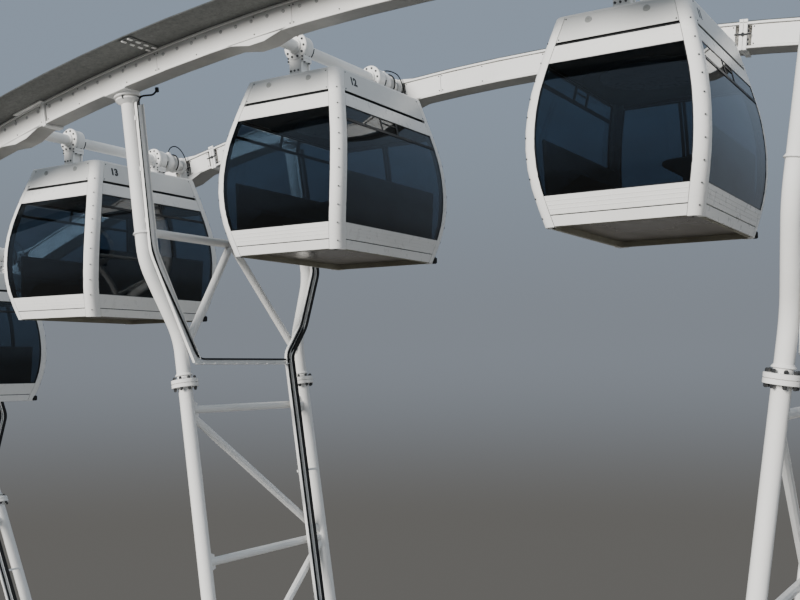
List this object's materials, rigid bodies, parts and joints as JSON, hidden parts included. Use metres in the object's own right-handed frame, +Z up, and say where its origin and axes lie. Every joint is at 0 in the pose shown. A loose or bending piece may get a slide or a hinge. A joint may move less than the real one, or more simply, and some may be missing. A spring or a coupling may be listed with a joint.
{
  "type": "observation wheel, 1:2 scale model",
  "caption": "Slender double-rim observation wheel on two splayed legs each side, with closed glazed cabins hung between the rims that stay level as it turns.",
  "frame": {"origin": "on the ground straight below the middle of the hub", "axes": "+Z up; the wheel turns about an axle along Y; the front, towards the picture's camera, faces -Y"},
  "size_m": [27.911, 7.54, 29.8043],
  "materials": {
    "frame_white": "white semi-gloss paint on steel",
    "cabin_white": "smooth glossy white cabin panels",
    "galvanised": "dull hot-dip galvanised steel, rubbed brighter at the edge",
    "shaft_steel": "machined steel with a film of grease",
    "deck_metal": "grey painted deck with a fine non-slip grain",
    "cabin_glass": "dark tinted, curved safety glass",
    "dark_trim": "black window frames and cabin fittings",
    "black_rubber": "black gaskets, bumpers and cables",
    "bare_steel": "plain plated bolts, rings and plates",
    "cabin_lining": "grey moulded lining and benches",
    "led_strip": "milky lamp housings, unlit"
  },
  "bodies": {
    "support": {"a_frame_front": "frame_white", "a_frame_back": "frame_white", "bearing_front": "frame_white", "bearing_back": "frame_white", "boarding_platform": "deck_metal"},
    "wheel": {"main_shaft": "shaft_steel", "hub_drum": "frame_white", "rim_front": "frame_white", "rim_back": "frame_white", "drive_band_front": "galvanised", "drive_band_back": "galvanised", "spoke_set_1": "frame_white", "spoke_set_2": "frame_white", "spoke_set_3": "frame_white", "spoke_set_4": "frame_white", "spoke_set_5": "frame_white", "spoke_set_6": "frame_white", "spoke_set_7": "frame_white"},
    "cabin_01_swing": {"cabin_01": "cabin_white"},
    "cabin_02_swing": {"cabin_02": "cabin_white"},
    "cabin_03_swing": {"cabin_03": "cabin_white"},
    "cabin_04_swing": {"cabin_04": "cabin_white"},
    "cabin_05_swing": {"cabin_05": "cabin_white"},
    "cabin_06_swing": {"cabin_06": "cabin_white"},
    "cabin_07_swing": {"cabin_07": "cabin_white"},
    "cabin_08_swing": {"cabin_08": "cabin_white"},
    "cabin_09_swing": {"cabin_09": "cabin_white"},
    "cabin_10_swing": {"cabin_10": "cabin_white"},
    "cabin_11_swing": {"cabin_11": "cabin_white"},
    "cabin_12_swing": {"cabin_12": "cabin_white"},
    "cabin_13_swing": {"cabin_13": "cabin_white"},
    "cabin_14_swing": {"cabin_14": "cabin_white"},
    "cabin_15_swing": {"cabin_15": "cabin_white"},
    "cabin_16_swing": {"cabin_16": "cabin_white"},
    "cabin_17_swing": {"cabin_17": "cabin_white"},
    "cabin_18_swing": {"cabin_18": "cabin_white"},
    "cabin_19_swing": {"cabin_19": "cabin_white"},
    "cabin_20_swing": {"cabin_20": "cabin_white"},
    "cabin_21_swing": {"cabin_21": "cabin_white"},
    "cabin_22_swing": {"cabin_22": "cabin_white"},
    "cabin_23_swing": {"cabin_23": "cabin_white"},
    "cabin_24_swing": {"cabin_24": "cabin_white"},
    "cabin_25_swing": {"cabin_25": "cabin_white"},
    "cabin_26_swing": {"cabin_26": "cabin_white"},
    "cabin_27_swing": {"cabin_27": "cabin_white"},
    "cabin_28_swing": {"cabin_28": "cabin_white"},
    "cabin_29_swing": {"cabin_29": "cabin_white"},
    "cabin_30_swing": {"cabin_30": "cabin_white"},
    "cabin_31_swing": {"cabin_31": "cabin_white"},
    "cabin_32_swing": {"cabin_32": "cabin_white"},
    "cabin_33_swing": {"cabin_33": "cabin_white"},
    "cabin_34_swing": {"cabin_34": "cabin_white"},
    "cabin_35_swing": {"cabin_35": "cabin_white"},
    "cabin_36_swing": {"cabin_36": "cabin_white"},
    "cabin_37_swing": {"cabin_37": "cabin_white"},
    "cabin_38_swing": {"cabin_38": "cabin_white"},
    "cabin_39_swing": {"cabin_39": "cabin_white"},
    "cabin_40_swing": {"cabin_40": "cabin_white"},
    "cabin_41_swing": {"cabin_41": "cabin_white"},
    "cabin_42_swing": {"cabin_42": "cabin_white"}
  },
  "joints": [
    {"name": "wheel_turn", "type": "hinge", "parent": "support", "child": "wheel", "pos_m": [0, 0, 16.25], "axis": [0, 1, 0], "continuous": true},
    {"name": "cabin_01_level", "type": "hinge", "parent": "wheel", "child": "cabin_01_swing", "pos_m": [13.49952, 0.03, 16.36427], "axis": [0, 1, 0], "continuous": true},
    {"name": "cabin_02_level", "type": "hinge", "parent": "wheel", "child": "cabin_02_swing", "pos_m": [13.33171, 0.03, 18.375], "axis": [0, 1, 0], "continuous": true},
    {"name": "cabin_03_level", "type": "hinge", "parent": "wheel", "child": "cabin_03_swing", "pos_m": [12.86609, 0.03, 20.33825], "axis": [0, 1, 0], "continuous": true},
    {"name": "cabin_04_level", "type": "hinge", "parent": "wheel", "child": "cabin_04_swing", "pos_m": [12.11306, 0.03, 22.21018], "axis": [0, 1, 0], "continuous": true},
    {"name": "cabin_05_level", "type": "hinge", "parent": "wheel", "child": "cabin_05_swing", "pos_m": [11.08945, 0.03, 23.94897], "axis": [0, 1, 0], "continuous": true},
    {"name": "cabin_06_level", "type": "hinge", "parent": "wheel", "child": "cabin_06_swing", "pos_m": [9.81812, 0.03, 25.51577], "axis": [0, 1, 0], "continuous": true},
    {"name": "cabin_07_level", "type": "hinge", "parent": "wheel", "child": "cabin_07_swing", "pos_m": [8.32747, 0.03, 26.8756], "axis": [0, 1, 0], "continuous": true},
    {"name": "cabin_08_level", "type": "hinge", "parent": "wheel", "child": "cabin_08_swing", "pos_m": [6.65079, 0.03, 27.99806], "axis": [0, 1, 0], "continuous": true},
    {"name": "cabin_09_level", "type": "hinge", "parent": "wheel", "child": "cabin_09_swing", "pos_m": [4.82555, 0.03, 28.85809], "axis": [0, 1, 0], "continuous": true},
    {"name": "cabin_10_level", "type": "hinge", "parent": "wheel", "child": "cabin_10_swing", "pos_m": [2.89252, 0.03, 29.43648], "axis": [0, 1, 0], "continuous": true},
    {"name": "cabin_11_level", "type": "hinge", "parent": "wheel", "child": "cabin_11_swing", "pos_m": [0.89487, 0.03, 29.72031], "axis": [0, 1, 0], "continuous": true},
    {"name": "cabin_12_level", "type": "hinge", "parent": "wheel", "child": "cabin_12_swing", "pos_m": [-1.12278, 0.03, 29.70323], "axis": [0, 1, 0], "continuous": true},
    {"name": "cabin_13_level", "type": "hinge", "parent": "wheel", "child": "cabin_13_swing", "pos_m": [-3.11533, 0.03, 29.38563], "axis": [0, 1, 0], "continuous": true},
    {"name": "cabin_14_level", "type": "hinge", "parent": "wheel", "child": "cabin_14_swing", "pos_m": [-5.0383, 0.03, 28.7746], "axis": [0, 1, 0], "continuous": true},
    {"name": "cabin_15_level", "type": "hinge", "parent": "wheel", "child": "cabin_15_swing", "pos_m": [-6.84872, 0.03, 27.88379], "axis": [0, 1, 0], "continuous": true},
    {"name": "cabin_16_level", "type": "hinge", "parent": "wheel", "child": "cabin_16_swing", "pos_m": [-8.50615, 0.03, 26.7331], "axis": [0, 1, 0], "continuous": true},
    {"name": "cabin_17_level", "type": "hinge", "parent": "wheel", "child": "cabin_17_swing", "pos_m": [-9.97357, 0.03, 25.34823], "axis": [0, 1, 0], "continuous": true},
    {"name": "cabin_18_level", "type": "hinge", "parent": "wheel", "child": "cabin_18_swing", "pos_m": [-11.2182, 0.03, 23.76013], "axis": [0, 1, 0], "continuous": true},
    {"name": "cabin_19_level", "type": "hinge", "parent": "wheel", "child": "cabin_19_swing", "pos_m": [-12.21223, 0.03, 22.00426], "axis": [0, 1, 0], "continuous": true},
    {"name": "cabin_20_level", "type": "hinge", "parent": "wheel", "child": "cabin_20_swing", "pos_m": [-12.93345, 0.03, 20.11986], "axis": [0, 1, 0], "continuous": true},
    {"name": "cabin_21_level", "type": "hinge", "parent": "wheel", "child": "cabin_21_swing", "pos_m": [-13.36577, 0.03, 18.149], "axis": [0, 1, 0], "continuous": true},
    {"name": "cabin_22_level", "type": "hinge", "parent": "wheel", "child": "cabin_22_swing", "pos_m": [-13.49952, 0.03, 16.13573], "axis": [0, 1, 0], "continuous": true},
    {"name": "cabin_23_level", "type": "hinge", "parent": "wheel", "child": "cabin_23_swing", "pos_m": [-13.33171, 0.03, 14.125], "axis": [0, 1, 0], "continuous": true},
    {"name": "cabin_24_level", "type": "hinge", "parent": "wheel", "child": "cabin_24_swing", "pos_m": [-12.86609, 0.03, 12.16175], "axis": [0, 1, 0], "continuous": true},
    {"name": "cabin_25_level", "type": "hinge", "parent": "wheel", "child": "cabin_25_swing", "pos_m": [-12.11306, 0.03, 10.28982], "axis": [0, 1, 0], "continuous": true},
    {"name": "cabin_26_level", "type": "hinge", "parent": "wheel", "child": "cabin_26_swing", "pos_m": [-11.08945, 0.03, 8.55103], "axis": [0, 1, 0], "continuous": true},
    {"name": "cabin_27_level", "type": "hinge", "parent": "wheel", "child": "cabin_27_swing", "pos_m": [-9.81812, 0.03, 6.98423], "axis": [0, 1, 0], "continuous": true},
    {"name": "cabin_28_level", "type": "hinge", "parent": "wheel", "child": "cabin_28_swing", "pos_m": [-8.32747, 0.03, 5.6244], "axis": [0, 1, 0], "continuous": true},
    {"name": "cabin_29_level", "type": "hinge", "parent": "wheel", "child": "cabin_29_swing", "pos_m": [-6.65079, 0.03, 4.50194], "axis": [0, 1, 0], "continuous": true},
    {"name": "cabin_30_level", "type": "hinge", "parent": "wheel", "child": "cabin_30_swing", "pos_m": [-4.82555, 0.03, 3.64191], "axis": [0, 1, 0], "continuous": true},
    {"name": "cabin_31_level", "type": "hinge", "parent": "wheel", "child": "cabin_31_swing", "pos_m": [-2.89252, 0.03, 3.06352], "axis": [0, 1, 0], "continuous": true},
    {"name": "cabin_32_level", "type": "hinge", "parent": "wheel", "child": "cabin_32_swing", "pos_m": [-0.89487, 0.03, 2.77969], "axis": [0, 1, 0], "continuous": true},
    {"name": "cabin_33_level", "type": "hinge", "parent": "wheel", "child": "cabin_33_swing", "pos_m": [1.12278, 0.03, 2.79677], "axis": [0, 1, 0], "continuous": true},
    {"name": "cabin_34_level", "type": "hinge", "parent": "wheel", "child": "cabin_34_swing", "pos_m": [3.11533, 0.03, 3.11437], "axis": [0, 1, 0], "continuous": true},
    {"name": "cabin_35_level", "type": "hinge", "parent": "wheel", "child": "cabin_35_swing", "pos_m": [5.0383, 0.03, 3.7254], "axis": [0, 1, 0], "continuous": true},
    {"name": "cabin_36_level", "type": "hinge", "parent": "wheel", "child": "cabin_36_swing", "pos_m": [6.84872, 0.03, 4.61621], "axis": [0, 1, 0], "continuous": true},
    {"name": "cabin_37_level", "type": "hinge", "parent": "wheel", "child": "cabin_37_swing", "pos_m": [8.50615, 0.03, 5.7669], "axis": [0, 1, 0], "continuous": true},
    {"name": "cabin_38_level", "type": "hinge", "parent": "wheel", "child": "cabin_38_swing", "pos_m": [9.97357, 0.03, 7.15177], "axis": [0, 1, 0], "continuous": true},
    {"name": "cabin_39_level", "type": "hinge", "parent": "wheel", "child": "cabin_39_swing", "pos_m": [11.2182, 0.03, 8.73987], "axis": [0, 1, 0], "continuous": true},
    {"name": "cabin_40_level", "type": "hinge", "parent": "wheel", "child": "cabin_40_swing", "pos_m": [12.21223, 0.03, 10.49574], "axis": [0, 1, 0], "continuous": true},
    {"name": "cabin_41_level", "type": "hinge", "parent": "wheel", "child": "cabin_41_swing", "pos_m": [12.93345, 0.03, 12.38015], "axis": [0, 1, 0], "continuous": true},
    {"name": "cabin_42_level", "type": "hinge", "parent": "wheel", "child": "cabin_42_swing", "pos_m": [13.36577, 0.03, 14.351], "axis": [0, 1, 0], "continuous": true}
  ],
  "couplings": [
    {"joint": "cabin_01_level", "follows": "wheel_turn", "ratio": -1},
    {"joint": "cabin_02_level", "follows": "wheel_turn", "ratio": -1},
    {"joint": "cabin_03_level", "follows": "wheel_turn", "ratio": -1},
    {"joint": "cabin_04_level", "follows": "wheel_turn", "ratio": -1},
    {"joint": "cabin_05_level", "follows": "wheel_turn", "ratio": -1},
    {"joint": "cabin_06_level", "follows": "wheel_turn", "ratio": -1},
    {"joint": "cabin_07_level", "follows": "wheel_turn", "ratio": -1},
    {"joint": "cabin_08_level", "follows": "wheel_turn", "ratio": -1},
    {"joint": "cabin_09_level", "follows": "wheel_turn", "ratio": -1},
    {"joint": "cabin_10_level", "follows": "wheel_turn", "ratio": -1},
    {"joint": "cabin_11_level", "follows": "wheel_turn", "ratio": -1},
    {"joint": "cabin_12_level", "follows": "wheel_turn", "ratio": -1},
    {"joint": "cabin_13_level", "follows": "wheel_turn", "ratio": -1},
    {"joint": "cabin_14_level", "follows": "wheel_turn", "ratio": -1},
    {"joint": "cabin_15_level", "follows": "wheel_turn", "ratio": -1},
    {"joint": "cabin_16_level", "follows": "wheel_turn", "ratio": -1},
    {"joint": "cabin_17_level", "follows": "wheel_turn", "ratio": -1},
    {"joint": "cabin_18_level", "follows": "wheel_turn", "ratio": -1},
    {"joint": "cabin_19_level", "follows": "wheel_turn", "ratio": -1},
    {"joint": "cabin_20_level", "follows": "wheel_turn", "ratio": -1},
    {"joint": "cabin_21_level", "follows": "wheel_turn", "ratio": -1},
    {"joint": "cabin_22_level", "follows": "wheel_turn", "ratio": -1},
    {"joint": "cabin_23_level", "follows": "wheel_turn", "ratio": -1},
    {"joint": "cabin_24_level", "follows": "wheel_turn", "ratio": -1},
    {"joint": "cabin_25_level", "follows": "wheel_turn", "ratio": -1},
    {"joint": "cabin_26_level", "follows": "wheel_turn", "ratio": -1},
    {"joint": "cabin_27_level", "follows": "wheel_turn", "ratio": -1},
    {"joint": "cabin_28_level", "follows": "wheel_turn", "ratio": -1},
    {"joint": "cabin_29_level", "follows": "wheel_turn", "ratio": -1},
    {"joint": "cabin_30_level", "follows": "wheel_turn", "ratio": -1},
    {"joint": "cabin_31_level", "follows": "wheel_turn", "ratio": -1},
    {"joint": "cabin_32_level", "follows": "wheel_turn", "ratio": -1},
    {"joint": "cabin_33_level", "follows": "wheel_turn", "ratio": -1},
    {"joint": "cabin_34_level", "follows": "wheel_turn", "ratio": -1},
    {"joint": "cabin_35_level", "follows": "wheel_turn", "ratio": -1},
    {"joint": "cabin_36_level", "follows": "wheel_turn", "ratio": -1},
    {"joint": "cabin_37_level", "follows": "wheel_turn", "ratio": -1},
    {"joint": "cabin_38_level", "follows": "wheel_turn", "ratio": -1},
    {"joint": "cabin_39_level", "follows": "wheel_turn", "ratio": -1},
    {"joint": "cabin_40_level", "follows": "wheel_turn", "ratio": -1},
    {"joint": "cabin_41_level", "follows": "wheel_turn", "ratio": -1},
    {"joint": "cabin_42_level", "follows": "wheel_turn", "ratio": -1}
  ]
}
